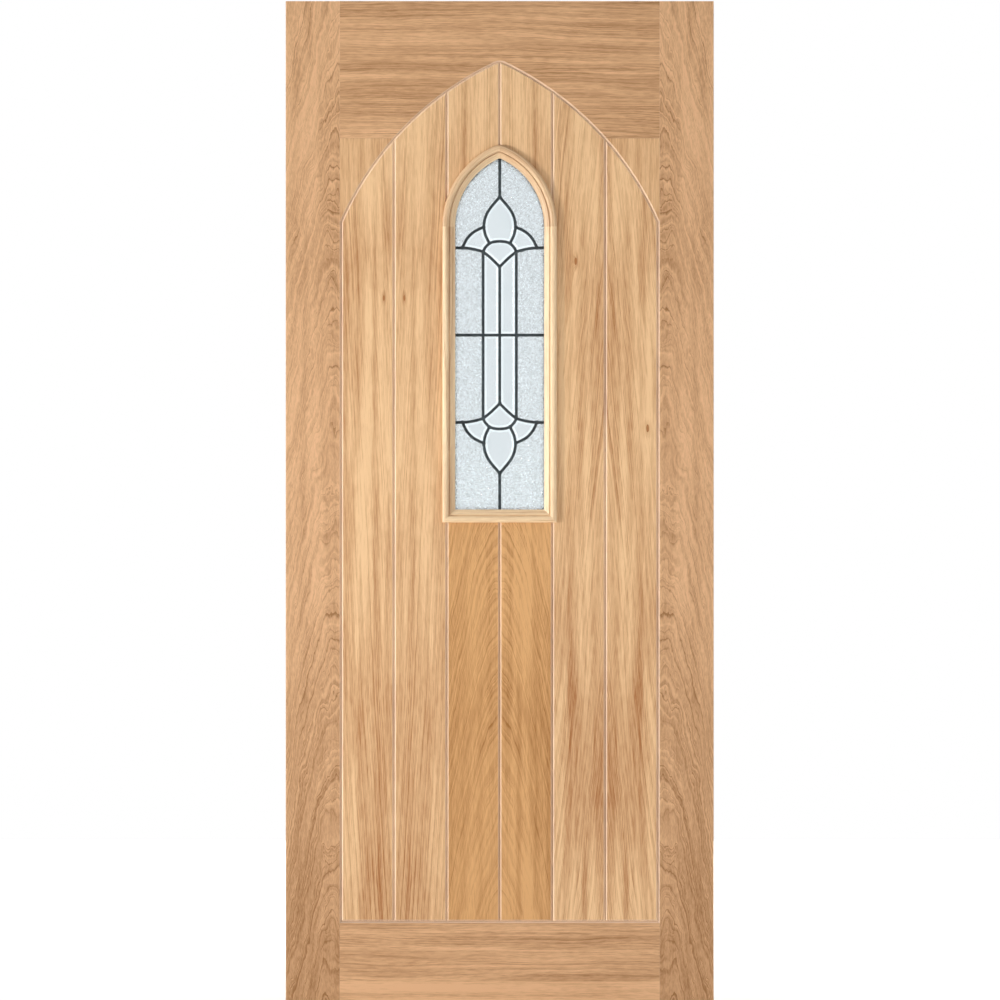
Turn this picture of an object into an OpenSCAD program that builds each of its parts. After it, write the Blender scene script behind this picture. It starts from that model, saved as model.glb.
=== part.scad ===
// Arched, boarded external door leaf with a leaded lancet window.
// X runs across the leaf, Y through its thickness (front face at -Y), Z up from the bottom edge.

/* [Leaf] */
// Width across both stiles
leaf_w = 838; // [700:1:1010]
// Height from bottom edge to top edge
leaf_h = 1981; // [1700:1:2380]
// Thickness between the two flat faces
leaf_t = 44; // [44:1:60]

/* [Frame] */
// Width of each stile
stile_w = 109; // [90:1:135]
// Height of the bottom rail
bottom_rail_h = 180; // [120:1:260]
// Height of the top rail at the stiles
top_rail_h = 268; // [240:1:300]
// Solid top rail left above the arch
arch_cover = 117; // [90:1:160]
// Rise of the arch from the stiles to its point
arch_rise = 315; // [270:1:380]
// Arch radius as a multiple of half the opening
arch_r_ratio = 1.99; // [1.6:0.01:3]
// Rounding of the arch point
arch_tip_r = 24; // [5:1:60]

/* [Joinery] */
// Width of each flank of the V grooves
vee_w = 3.25; // [1:0.25:5]
// Depth of the V grooves
vee_d = 3; // [1:0.25:4]
// Small chamfer on the outside corners of the leaf
arris = 1; // [0.5:0.25:2]
// Gap left between neighbouring pieces of wood
joint_gap = 0.25; // [0.1:0.05:0.6]
// Depth of the groove worked in the frame
groove_d = 14; // [10:1:18]
// How far tongues stop short of the groove bottom
tongue_short = 1; // [0.5:0.25:2]
// Dowel diameter
dowel_d = 14; // [8:1:16]
// Dowel length
dowel_l = 110; // [60:1:130]

/* [Boards] */
// Thickness of the boards on each face
board_t = 12; // [10:0.5:14]
// Thickness of the tongue between boards
tongue_t = 4; // [3:0.5:5]
// Length of the tongue between boards
tongue_l = 6; // [4:0.5:8]

/* [Window] */
// Height of the visible glass
window_h = 688; // [560:1:860]
// From the point of the arch down to the point of the glass
window_drop = 190; // [150:1:250]
// Rise of the window arch as a multiple of half the glass width
window_rise_ratio = 1.544; // [1.2:0.01:1.9]
// Rounding of the glass point
window_tip_r = 6; // [2:1:12]
// From the glass edge out to the edge of the hole in the boards
bead_seat = 16.33; // [14:0.5:20]
// Visible width of the bead
bead_w = 25.5; // [23:0.5:32]
// How far the bead stands off the face
bead_h = 8.5; // [7:0.5:12]
// Width of the hardwood liner round the hole
liner_w = 25; // [18:1:35]

/* [Glazing] */
// How far the bead reaches in below the face
bead_reach = 6.5; // [5:0.5:8]
// Glazing tape thickness
tape_t = 1.5; // [1:0.25:2]
// Thickness of each clear outer pane
pane_t = 4; // [4:1:6]
// Thickness of the lead cames, front to back
came_t = 6; // [5:0.5:7]
// Width of the lead cames
came_w = 5.5; // [4.5:0.5:8]
// Width of the web inside a came
web_w = 1.5; // [1:0.25:2]
// Thickness of a came's flanges
flange_t = 1; // [0.8:0.1:1.2]
// Slack between a glass piece and its cames
glass_slack = 0.2; // [0.1:0.05:0.4]

/* [Hidden] */

board_count = 6;
face_y = leaf_t / 2;
core_y = face_y - board_t;
groove_y = core_y + 0.2;
open_half = leaf_w / 2 - stile_w;
board_w = 2 * open_half / board_count;
tongue_out = groove_d - tongue_short;

// Arch of the panel opening.
arch_apex_z = leaf_h - arch_cover;
arch_spring_z = arch_apex_z - arch_rise;
arch_r = arch_r_ratio * open_half;
top_rail_z = leaf_h - top_rail_h;

// Window, sized so that the hole takes out exactly the two middle boards.
glass_half = board_w - bead_seat;
window_top_z = arch_apex_z - window_drop;
window_z = window_top_z - window_h;
window_rise = window_rise_ratio * glass_half;
window_spring_z = window_top_z - window_rise;
window_r = (glass_half ^ 2 + window_rise ^ 2) / (2 * glass_half);
// The hole is cut square up to here, where the boards beside the arch would be feather thin.
trim_z = window_spring_z + 0.3 * window_rise;

// Layers of the sealed unit, from its front face inward.
unit_y = face_y - bead_reach - tape_t;
seal_y = unit_y - pane_t;
unit_grow = bead_seat - 4;
seal_grow = unit_grow - 1.5;
spacer_grow = seal_grow - 7;
came_line_grow = seal_grow - 3;

ARC_STEPS = 22;
TIP_STEPS = 5;
APEX = ARC_STEPS + TIP_STEPS + 1;
LAST = 2 * APEX;

oak = "#c9a06c";
oak_light = "#d8b281";
core_colour = "#b79b6e";
lead = "#3a4044";
glass = "#dfe9ec";
rubber = "#2b2b2b";
metal = "#a8a9a6";

// ---- outlines -------------------------------------------------------------------------

function arc_points(c, r, a0, a1, n) =
    [for (i = [0:n]) let (a = a0 + (a1 - a0) * i / n) c + r * [cos(a), sin(a)]];

// Centre of the right-hand arc of a lancet that springs at [half, z] and rises to [0, z + rise].
function lancet_centre(half, z, rise, r) =
    let (
        chord = norm([half, rise]),
        k = sqrt(r ^ 2 - chord ^ 2 / 4)
    )
    [half / 2 - k * rise / chord, z + rise / 2 - k * half / chord];

// Outline of a lancet, moved outward by grow: bottom right corner, right arc, rounded point, and
// the same mirrored. Every value of grow gives the same number of points.
function lancet(half, base, z, rise, r, tip, grow) =
    let (
        c = lancet_centre(half, z, rise, r),
        a0 = acos(min(1, (half + grow - c.x) / (r + grow))),
        a1 = acos(-c.x / (r - tip)),
        tip_z = c.y + sqrt((r - tip) ^ 2 - c.x ^ 2),
        right = concat(
            [[half + grow, base - grow]],
            arc_points(c, r + grow, a0, a1, ARC_STEPS),
            [for (i = [1:TIP_STEPS])
                let (a = a1 + (90 - a1) * i / TIP_STEPS)
                [0, tip_z] + max(tip + grow, 0.3) * [cos(a), sin(a)]]
        )
    )
    concat(right, [for (i = [len(right) - 2:-1:0]) [-right[i].x, right[i].y]]);

function arch_outline(grow) =
    lancet(open_half, bottom_rail_h, arch_spring_z, arch_rise, arch_r, arch_tip_r, grow);

function window_outline(grow) =
    lancet(glass_half, window_z, window_spring_z, window_rise, window_r, window_tip_r, grow);

// Smooth curve through the given points.
function spline(p, n) =
    concat(
        [for (i = [0:len(p) - 2], j = [0:n - 1])
            let (
                t = j / n,
                a = p[max(i - 1, 0)],
                b = p[i],
                c = p[i + 1],
                d = p[min(i + 2, len(p) - 1)]
            )
            0.5 * (2 * b + (c - a) * t + (2 * a - 5 * b + 4 * c - d) * t ^ 2
                + (3 * b - a - 3 * c + d) * t ^ 3)],
        [p[len(p) - 1]]
    );

function backward(p) = [for (i = [len(p) - 1:-1:0]) p[i]];

// ---- shapes ---------------------------------------------------------------------------

// A flat shape in X and Z, standing from y0 to y1.
module standing(y0, y1) {
    translate([0, y1, 0])
        rotate([90, 0, 0])
            linear_extrude(y1 - y0)
                children();
}

module plate(outline, y0, y1) {
    standing(y0, y1)
        polygon(outline);
}

module ring(grow_in, grow_out, y0, y1) {
    standing(y0, y1)
        difference() {
            polygon(window_outline(grow_out));
            polygon(window_outline(grow_in));
        }
}

// Solid through outlines of equal length, one at each y.
module loft(outlines, ys) {
    n = len(outlines[0]);
    m = len(ys);
    points = [for (k = [0:m - 1], p = outlines[k]) [p.x, ys[k], p.y]];
    sides = [for (k = [0:m - 2], i = [0:n - 1])
        let (j = (i + 1) % n)
        [k * n + i, k * n + j, (k + 1) * n + j, (k + 1) * n + i]];
    polyhedron(
        points = points,
        faces = concat(
            [[for (i = [n - 1:-1:0]) i]],
            [[for (i = [0:n - 1]) (m - 1) * n + i]],
            sides
        )
    );
}

// A profile of [outward, y] points carried round the window from outline point i0 to i1.
// caps lists the profile's points as faces.
module carried(profile, caps, i0, i1) {
    n = len(profile);
    outlines = [for (p = profile) window_outline(p.x)];
    steps = i1 - i0;
    points = [for (k = [0:steps], j = [0:n - 1])
        let (q = outlines[j][(i0 + k) % (LAST + 1)])
        [q.x, profile[j].y, q.y]];
    sides = [for (k = [0:steps - 1], j = [0:n - 1])
        let (e = (j + 1) % n)
        [k * n + j, (k + 1) * n + j, (k + 1) * n + e, k * n + e]];
    polyhedron(
        points = points,
        faces = concat(
            caps,
            [for (c = caps) [for (i = [len(c) - 1:-1:0]) steps * n + c[i]]],
            sides
        )
    );
}

module both_sides() {
    children();
    mirror([1, 0, 0])
        children();
}

// ---- frame ----------------------------------------------------------------------------

function dowel_zs() = concat(
    [for (i = [1, 2]) bottom_rail_h * i / 3],
    [for (i = [0:2]) top_rail_z + top_rail_h * (0.2 + 0.3 * i)]
);
spandrel_dowel_l = 60;
spandrel_dowel_d = 10;

// Dowels across the joints between stiles and rails.
module rail_dowel_set(extra = 0) {
    for (side = [-1, 1], z = dowel_zs())
        translate([side * open_half, 0, z])
            rotate([0, 90, 0])
                cylinder(d = dowel_d, h = dowel_l + 2 * extra, center = true);
}

// Dowels from each spandrel into the stile beside it and the rail above it.
module spandrel_dowel_set(extra = 0) {
    both_sides() {
        translate([open_half, 0, top_rail_z - 24])
            rotate([0, 90, 0])
                cylinder(d = spandrel_dowel_d, h = spandrel_dowel_l + 2 * extra, center = true);
        translate([open_half - 50, 0, top_rail_z])
            cylinder(d = spandrel_dowel_d, h = spandrel_dowel_l + 2 * extra, center = true);
    }
}

// Plan of the right stile: grooved for panel and rails, and chamfered where the boards meet it.
module stile_plan() {
    x0 = open_half;
    x1 = leaf_w / 2;
    polygon([
        [x0 + vee_w, -face_y],
        [x1 - arris, -face_y],
        [x1, arris - face_y],
        [x1, face_y - arris],
        [x1 - arris, face_y],
        [x0 + vee_w, face_y],
        [x0, face_y - vee_d],
        [x0, groove_y],
        [x0 + groove_d, groove_y],
        [x0 + groove_d, -groove_y],
        [x0, -groove_y],
        [x0, vee_d - face_y]
    ]);
}

module stile() {
    difference() {
        linear_extrude(leaf_h)
            stile_plan();
        rail_dowel_set(1);
        spandrel_dowel_set(1);
    }
}

// Plan of a rail, its ends scribed over the stile chamfers and tongued into the stile grooves.
module rail_plan() {
    x0 = open_half - joint_gap;
    right = [
        [x0 + vee_w, -face_y],
        [x0, vee_d - face_y],
        [x0, -core_y],
        [x0 + tongue_out, -core_y],
        [x0 + tongue_out, core_y],
        [x0, core_y],
        [x0, face_y - vee_d],
        [x0 + vee_w, face_y]
    ];
    polygon(concat(right, [for (p = backward(right)) [-p.x, p.y]]));
}

// Everything taken out of the frame for the panel below the arch.
module arch_cutter() {
    spill = vee_w * (1 + 1 / vee_d);
    loft(
        [arch_outline(spill), arch_outline(0), arch_outline(0), arch_outline(spill)],
        [-face_y - 1, vee_d - face_y, face_y - vee_d, face_y + 1]
    );
    plate(arch_outline(groove_d), -groove_y, groove_y);
}

module top_rail() {
    color(oak)
        difference() {
            translate([0, 0, top_rail_z])
                linear_extrude(top_rail_h)
                    rail_plan();
            arch_cutter();
            rail_dowel_set(1);
            spandrel_dowel_set(1);
        }
}

module bottom_rail() {
    z1 = bottom_rail_h;
    reach = open_half + stile_w;
    color(oak)
        difference() {
            linear_extrude(z1)
                rail_plan();
            translate([-reach, -groove_y, z1 - groove_d])
                cube([2 * reach, 2 * groove_y, 2 * groove_d]);
            for (side = [-1, 1])
                scale([1, side, 1])
                    rotate([90, 0, 90])
                        linear_extrude(2 * reach, center = true)
                            polygon([
                                [face_y - vee_d, z1 + vee_w / vee_d],
                                [face_y - vee_d, z1],
                                [face_y + 1, z1 - vee_w * (1 + 1 / vee_d)],
                                [face_y + 1, z1 + vee_w / vee_d]
                            ]);
            rail_dowel_set(1);
        }
}

module spandrel() {
    z0 = arch_spring_z - 1;
    z1 = top_rail_z - joint_gap;
    difference() {
        intersection() {
            translate([0, 0, z0])
                linear_extrude(z1 - z0)
                    rail_plan();
            translate([1, -leaf_t, z0])
                cube([leaf_w, 2 * leaf_t, z1 - z0]);
        }
        arch_cutter();
        spandrel_dowel_set(1);
    }
}

module left_stile() {
    color(oak)
        mirror([1, 0, 0])
            stile();
}

module right_stile() {
    color(oak)
        stile();
}

module left_spandrel() {
    color(oak_light)
        mirror([1, 0, 0])
            spandrel();
}

module right_spandrel() {
    color(oak_light)
        spandrel();
}

module rail_dowels() {
    color(oak_light)
        rail_dowel_set();
}

module spandrel_dowels() {
    color(oak_light)
        spandrel_dowel_set();
}

// ---- panel ----------------------------------------------------------------------------

module panel_core() {
    color(core_colour)
        difference() {
            plate(arch_outline(tongue_out), -core_y, core_y);
            plate(window_outline(bead_seat + liner_w), -face_y, face_y);
        }
}

// Plan of one front board between two joints, tongued on its right and grooved on its left.
module board_plan(i) {
    x0 = -open_half + (i - 1) * board_w + joint_gap;
    x1 = -open_half + i * board_w - joint_gap;
    tongue_y = -face_y + (board_t + vee_d) / 2;
    half = tongue_t / 2;
    slot = half + joint_gap;
    deep = tongue_l + 2 * joint_gap + 0.25;
    left = i == 1 ? [
        [x0 - stile_w, -core_y],
        [x0 - stile_w, -face_y]
    ] : [
        [x0, -core_y],
        [x0, tongue_y + slot],
        [x0 + deep, tongue_y + slot],
        [x0 + deep, tongue_y - slot],
        [x0, tongue_y - slot],
        [x0, vee_d - face_y],
        [x0 + vee_w, -face_y]
    ];
    right = i == board_count ? [
        [x1 + stile_w, -face_y],
        [x1 + stile_w, -core_y]
    ] : [
        [x1 - vee_w, -face_y],
        [x1, vee_d - face_y],
        [x1, tongue_y - half],
        [x1 + tongue_l, tongue_y - half],
        [x1 + tongue_l, tongue_y + half],
        [x1, tongue_y + half],
        [x1, -core_y]
    ];
    polygon(concat(left, right));
}

// One front board, cut to the arch, chamfered round the panel and stopped at the window.
module board(i) {
    difference() {
        intersection() {
            linear_extrude(leaf_h)
                board_plan(i);
            loft(
                [
                    arch_outline(-joint_gap - vee_w),
                    arch_outline(-joint_gap),
                    arch_outline(-joint_gap)
                ],
                [-face_y, vee_d - face_y, -core_y]
            );
        }
        if (i > 1 && i < board_count) {
            plate(window_outline(bead_seat), -face_y - 1, face_y);
            // The middle boards also lose the tongue that would stand in the side of the hole.
            translate([-board_w, -face_y - 1, window_z - bead_seat])
                cube([
                    2 * board_w + (i == board_count / 2 + 1 ? 2 * tongue_l : 0),
                    leaf_t,
                    trim_z - window_z + bead_seat
                ]);
            pin_set();
        }
    }
}

module board_part(i, upper) {
    z = (window_z + window_top_z) / 2;
    intersection() {
        board(i);
        translate([-leaf_w, -leaf_t, upper ? z : z - leaf_h])
            cube([2 * leaf_w, 2 * leaf_t, leaf_h]);
    }
}

module to_back() {
    mirror([0, 1, 0])
        children();
}

module front_board_1() {
    color(oak_light)
        board(1);
}

module front_board_2() {
    color(oak)
        board(2);
}

module front_board_3_upper() {
    color(oak)
        board_part(3, true);
}

module front_board_3_lower() {
    color(oak)
        board_part(3, false);
}

module front_board_4_upper() {
    color(oak)
        board_part(4, true);
}

module front_board_4_lower() {
    color(oak)
        board_part(4, false);
}

module front_board_5() {
    color(oak)
        board(5);
}

module front_board_6() {
    color(oak_light)
        board(6);
}

module back_board_1() {
    to_back()
        front_board_1();
}

module back_board_2() {
    to_back()
        front_board_2();
}

module back_board_3_upper() {
    to_back()
        front_board_3_upper();
}

module back_board_3_lower() {
    to_back()
        front_board_3_lower();
}

module back_board_4_upper() {
    to_back()
        front_board_4_upper();
}

module back_board_4_lower() {
    to_back()
        front_board_4_lower();
}

module back_board_5() {
    to_back()
        front_board_5();
}

module back_board_6() {
    to_back()
        front_board_6();
}

// ---- window lining and beads ------------------------------------------------------------

SILL = [LAST, LAST + 1];
RIGHT = [0, 1];
ARCH_RIGHT = [1, APEX];
ARCH_LEFT = [APEX, LAST - 1];
LEFT = [LAST - 1, LAST];

module liner(span) {
    color(core_colour)
        difference() {
            carried(
                [
                    [bead_seat, -core_y],
                    [bead_seat + liner_w, -core_y],
                    [bead_seat + liner_w, core_y],
                    [bead_seat, core_y]
                ],
                [[0, 1, 2, 3]],
                span[0],
                span[1]
            );
            pin_set();
            to_back()
                pin_set();
        }
}

module liner_left() {
    liner(LEFT);
}

module liner_right() {
    liner(RIGHT);
}

module liner_sill() {
    liner(SILL);
}

module liner_head_left() {
    liner(ARCH_LEFT);
}

module liner_head_right() {
    liner(ARCH_RIGHT);
}

// Bead section: a leg in the hole, a nose lapping the boards, a quirk and a slope to the glass.
// Each point is [out from the glass edge, height off the face].
nose_w = bead_w - 12;
bead_section = [
    [bead_seat - joint_gap, 0],
    [bead_w, 0],
    [bead_w, 0.3 * bead_h],
    [bead_w - 0.06 * nose_w, 0.62 * bead_h],
    [bead_w - 0.2 * nose_w, 0.86 * bead_h],
    [bead_w - 0.42 * nose_w, bead_h],
    [bead_w - 0.66 * nose_w, 0.93 * bead_h],
    [bead_w - 0.86 * nose_w, 0.78 * bead_h],
    [bead_w - nose_w + 0.3, 0.62 * bead_h],
    [bead_w - nose_w - 0.8, 0.24 * bead_h],
    [bead_w - nose_w - 1.7, 0.42 * bead_h],
    [6.6, 0.26 * bead_h],
    [3, 0],
    [0.7, -1.2],
    [0, -2],
    [0, -bead_reach],
    [bead_seat - joint_gap, -bead_reach]
];
bead_caps = [
    [for (i = [0:9]) i],
    concat([15, 16, 0], [for (i = [9:14]) i])
];

module bead(span) {
    color(oak_light)
        difference() {
            carried(
                [for (p = bead_section) [p.x, -face_y - p.y]],
                bead_caps,
                span[0],
                span[1]
            );
            pin_set();
        }
}

module front_bead_left() {
    bead(LEFT);
}

module front_bead_right() {
    bead(RIGHT);
}

module front_bead_sill() {
    bead(SILL);
}

module front_bead_arch_left() {
    bead(ARCH_LEFT);
}

module front_bead_arch_right() {
    bead(ARCH_RIGHT);
}

module back_bead_left() {
    to_back()
        bead(LEFT);
}

module back_bead_right() {
    to_back()
        bead(RIGHT);
}

module back_bead_sill() {
    to_back()
        bead(SILL);
}

module back_bead_arch_left() {
    to_back()
        bead(ARCH_LEFT);
}

module back_bead_arch_right() {
    to_back()
        bead(ARCH_RIGHT);
}

// Pins from the quirk of the bead slantwise into the boards and the liner.
pin_d = 1.6;
pin_l = 25;
pin_u = bead_w - nose_w - 0.8;
pin_w = 0.24 * bead_h - 1;

module pin(at, facing) {
    translate([at.x, -face_y - pin_w, at.y])
        rotate([0, -facing, 0])
            rotate([0, 0, 45])
                rotate([0, 90, 0])
                    cylinder(d = pin_d, h = pin_l);
}

module pin_set() {
    straight = window_spring_z - window_z;
    c = lancet_centre(glass_half, window_spring_z, window_rise, window_r);
    both_sides() {
        for (i = [0:3])
            pin([glass_half + pin_u, window_z + straight * (0.08 + 0.28 * i)], 0);
        for (a = [12, 42])
            pin(c + (window_r + pin_u) * [cos(a), sin(a)], a);
        pin([glass_half * 0.6, window_z - pin_u], -90);
    }
}

module front_bead_pins() {
    color(metal)
        pin_set();
}

module back_bead_pins() {
    color(metal)
        to_back()
            pin_set();
}

// ---- sealed unit ------------------------------------------------------------------------

module front_glazing_tape() {
    color(rubber)
        ring(0.5, spacer_grow + 4, -unit_y - tape_t, -unit_y);
}

module back_glazing_tape() {
    color(rubber)
        to_back()
            ring(0.5, spacer_grow + 4, -unit_y - tape_t, -unit_y);
}

// Packers that carry the unit and keep it central in the hole.
module setting_blocks() {
    slack = bead_seat - unit_grow - 0.05;
    color(rubber)
        both_sides() {
            translate([glass_half * 0.45, -unit_y, window_z - unit_grow - slack])
                cube([30, 2 * unit_y, slack]);
            for (z = [window_z + 40, window_spring_z - 70])
                translate([glass_half + unit_grow, -unit_y, z])
                    cube([slack, 2 * unit_y, 50]);
        }
}

module outer_pane() {
    color(glass, 0.3)
        plate(window_outline(unit_grow), -unit_y, -seal_y);
}

module inner_pane() {
    color(glass, 0.3)
        plate(window_outline(unit_grow), seal_y, unit_y);
}

module edge_seal() {
    color(rubber)
        ring(seal_grow, unit_grow, -seal_y, seal_y);
}

module outer_spacer() {
    color(metal)
        ring(spacer_grow, seal_grow, -seal_y, -came_t / 2);
}

module inner_spacer() {
    color(metal)
        ring(spacer_grow, seal_grow, came_t / 2, seal_y);
}

// ---- leaded glass -----------------------------------------------------------------------

// The pattern is drawn about its middle in millimetres for an 87 mm half width and a 688 mm high
// window, and stretched to the glass.
pattern_z = window_z + 0.497 * window_h;
pattern_scale = [glass_half / 87, window_h / 688];
strip_x = 32.5;
joint_z = 163.6;
fan_tip = [0, 134.1];
bud_tip = [0, 270.8];
bud_foot = [20.4, 180.2];
petal_top = [31.3, 212];
petal_foot = [73, 171];

// Long curve from the glass edge to the strip came, then on to the tip of the fan.
shoulder = spline([[120, 171], petal_foot, [52, 168.6], [strip_x, joint_z]], 5);
fan_side = spline([[strip_x, joint_z], [16.8, 150.6], fan_tip], 4);
dome_side = spline([[strip_x, joint_z], [28.6, 171.2], bud_foot], 2);
dome_top = spline([bud_foot, [10.6, 183], [0, 184]], 3);
bud_low = spline([bud_foot, [28, 196.5], petal_top], 3);
bud_high = spline([petal_top, [28.4, 229.7], [19.8, 247], bud_tip], 4);
petal_arc = spline([petal_top, [51, 202], [64.2, 188.6], petal_foot], 4);
// The part of the shoulder that runs under the petal.
under_petal = [for (p = shoulder) if (p.x <= petal_foot.x + 0.01) p];
outside = 120;

bud_shape = concat(
    dome_top,
    [for (p = backward(dome_top)) [-p.x, p.y]],
    [for (p = bud_low) [-p.x, p.y]],
    [for (p = bud_high) [-p.x, p.y]],
    backward(bud_high),
    backward(bud_low)
);
petal_shape = concat(petal_arc, under_petal, dome_side, bud_low);
fan_shape = concat(
    fan_side,
    [for (p = backward(fan_side)) [-p.x, p.y]],
    [for (p = dome_side) [-p.x, p.y]],
    [for (p = dome_top) [-p.x, p.y]],
    backward(dome_top),
    backward(dome_side)
);
strip_shape = concat([[0, 0], [strip_x, 0]], fan_side);
side_shape = concat([[strip_x, 0], [outside, 0]], shoulder);
head_shape = concat(
    [[0, 500], bud_tip],
    backward(bud_high),
    petal_arc,
    [[outside, petal_foot.y], [outside, 500]]
);

// Places a shape of the pattern, cut to the outer came and set in by half a came.
module in_came(shape, inset, left = false, lower = false) {
    offset(delta = -inset)
        intersection() {
            translate([0, pattern_z])
                scale([pattern_scale.x * (left ? -1 : 1), pattern_scale.y * (lower ? -1 : 1)])
                    polygon(shape);
            polygon(window_outline(came_line_grow));
        }
}

module in_four(shape, inset) {
    for (left = [false, true], lower = [false, true])
        in_came(shape, inset, left, lower);
}

module in_two(shape, inset) {
    for (lower = [false, true])
        in_came(shape, inset, false, lower);
}

module every_piece(inset) {
    in_two(bud_shape, inset);
    in_two(fan_shape, inset);
    in_four(petal_shape, inset);
    in_four(strip_shape, inset);
    in_four(side_shape, inset);
    in_four(head_shape, inset);
}

// Lead lattice: flanges on both faces with a narrower web between them.
module came_lattice() {
    color(lead)
        difference() {
            plate(window_outline(seal_grow), -came_t / 2, came_t / 2);
            standing(-came_t, came_t)
                every_piece(came_w / 2);
            standing(flange_t - came_t / 2, came_t / 2 - flange_t)
                every_piece(web_w / 2);
        }
}

module glass_sheet() {
    color(glass, 0.5)
        standing(flange_t - came_t / 2 + glass_slack, came_t / 2 - flange_t - glass_slack)
            children();
}

glass_inset = web_w / 2 + glass_slack;

module head_glass() {
    glass_sheet()
        for (left = [false, true])
            in_came(head_shape, glass_inset, left, false);
}

module foot_glass() {
    glass_sheet()
        for (left = [false, true])
            in_came(head_shape, glass_inset, left, true);
}

module side_glass() {
    glass_sheet()
        in_four(side_shape, glass_inset);
}

module bud_glass() {
    glass_sheet()
        in_two(bud_shape, glass_inset);
}

module petal_glass() {
    glass_sheet()
        in_four(petal_shape, glass_inset);
}

module fan_glass() {
    glass_sheet()
        in_two(fan_shape, glass_inset);
}

module strip_glass() {
    glass_sheet()
        in_four(strip_shape, glass_inset);
}

// ---- the assembly -----------------------------------------------------------------------

left_stile();
right_stile();
top_rail();
bottom_rail();
left_spandrel();
right_spandrel();
rail_dowels();
spandrel_dowels();
panel_core();
front_board_1();
front_board_2();
front_board_3_upper();
front_board_3_lower();
front_board_4_upper();
front_board_4_lower();
front_board_5();
front_board_6();
back_board_1();
back_board_2();
back_board_3_upper();
back_board_3_lower();
back_board_4_upper();
back_board_4_lower();
back_board_5();
back_board_6();
liner_left();
liner_right();
liner_sill();
liner_head_left();
liner_head_right();
front_bead_left();
front_bead_right();
front_bead_sill();
front_bead_arch_left();
front_bead_arch_right();
back_bead_left();
back_bead_right();
back_bead_sill();
back_bead_arch_left();
back_bead_arch_right();
front_bead_pins();
back_bead_pins();
front_glazing_tape();
back_glazing_tape();
setting_blocks();
outer_pane();
outer_spacer();
came_lattice();
head_glass();
side_glass();
foot_glass();
bud_glass();
petal_glass();
fan_glass();
strip_glass();
inner_spacer();
inner_pane();
edge_seal();
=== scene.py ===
"""Arched oak door leaf: woods, beads, leaded glass and stage, built round the construction model."""

import math

import bmesh
import bpy
from bpy.props import FloatProperty, FloatVectorProperty, PointerProperty
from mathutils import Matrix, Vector, noise


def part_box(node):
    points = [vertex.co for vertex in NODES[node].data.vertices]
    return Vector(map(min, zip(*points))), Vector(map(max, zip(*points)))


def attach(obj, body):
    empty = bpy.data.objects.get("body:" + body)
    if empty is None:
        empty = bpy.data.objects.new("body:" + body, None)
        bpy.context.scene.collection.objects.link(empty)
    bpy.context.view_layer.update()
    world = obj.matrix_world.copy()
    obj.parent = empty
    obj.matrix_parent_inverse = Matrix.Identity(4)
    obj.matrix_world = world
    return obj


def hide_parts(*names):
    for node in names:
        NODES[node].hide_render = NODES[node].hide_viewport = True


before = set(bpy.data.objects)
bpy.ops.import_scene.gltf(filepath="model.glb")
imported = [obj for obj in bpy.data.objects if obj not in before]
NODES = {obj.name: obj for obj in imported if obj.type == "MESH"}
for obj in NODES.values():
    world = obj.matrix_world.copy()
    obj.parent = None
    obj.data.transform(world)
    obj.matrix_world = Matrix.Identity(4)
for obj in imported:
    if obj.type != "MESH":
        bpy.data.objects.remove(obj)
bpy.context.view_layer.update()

bl_info = {
    "name": "Arched oak door",
    "version": (1, 0, 0),
    "blender": (4, 5, 0),
    "location": "View3D > Sidebar > Door",
    "description": "Oak door leaf with a pointed panel and a leaded lancet window",
    "category": "Add Mesh",
}

MM = 0.001
FACES = {"front": -1, "back": 1}


# ---- sizes read off the construction model ---------------------------------------------


def low(node):
    """Lowest corner of a node's box, in metres."""
    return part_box(node)[0]


def high(node):
    """Highest corner of a node's box, in metres."""
    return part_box(node)[1]


LEAF_HALF = high("right_stile").x
LEAF_TOP = high("right_stile").z
FACE_Y = -low("left_stile").y
OPEN_HALF = low("right_stile").x
BOARD_W = OPEN_HALF / 3
BEAD_W = high("front_bead_right").x - low("front_bead_right").x
GLASS_HALF = low("front_bead_right").x
GLASS_Z = high("front_bead_sill").z
SPRING_Z = high("front_bead_right").z
BEAD_TOP = high("front_bead_arch_right").z
BEAD_H = -FACE_Y - low("front_bead_sill").y
BEAD_BACK_Y = high("front_bead_sill").y
CAME_Y = high("came_lattice").y
CAME_EDGE = high("came_lattice").x - GLASS_HALF
BEAD_SEAT = BOARD_W - GLASS_HALF


# ---- settings --------------------------------------------------------------------------


def linear(hex_colour):
    """An sRGB hex colour as linear red, green and blue."""
    parts = (int(hex_colour[i : i + 2], 16) / 255 for i in (1, 3, 5))
    return tuple(c / 12.92 if c <= 0.04045 else ((c + 0.055) / 1.055) ** 2.4 for c in parts)


def colour(label, about, hex_colour):
    """A colour setting that starts at an sRGB hex colour."""
    return FloatVectorProperty(
        name=label, description=about, default=linear(hex_colour), subtype="COLOR", min=0, max=1
    )


def length(label, about, metres):
    """A length setting in metres."""
    return FloatProperty(name=label, description=about, default=metres, unit="LENGTH", min=0)


class DoorWood(bpy.types.PropertyGroup):
    honey: colour("Honey oak", "Pale wood of the outer boards", "#E5BB8C")
    tan: colour("Tan oak", "Dark growth lines of the outer boards", "#AD7445")
    amber: colour("Amber oak", "Pale wood of the browner middle boards", "#D4A16A")
    umber: colour("Umber oak", "Dark growth lines of the middle boards", "#A26D38")
    pale: colour("Pale bead oak", "Straight oak of the window beads", "#F0D1A8")
    pink: colour("Pinkish oak", "Pale wood of the rails and stiles", "#D9AB80")
    brown: colour("Brown oak", "Dark growth lines of the rails and stiles", "#9D7046")
    edge: length("Edge radius", "Radius sanded on every arris", 0.6 * MM)


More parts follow.
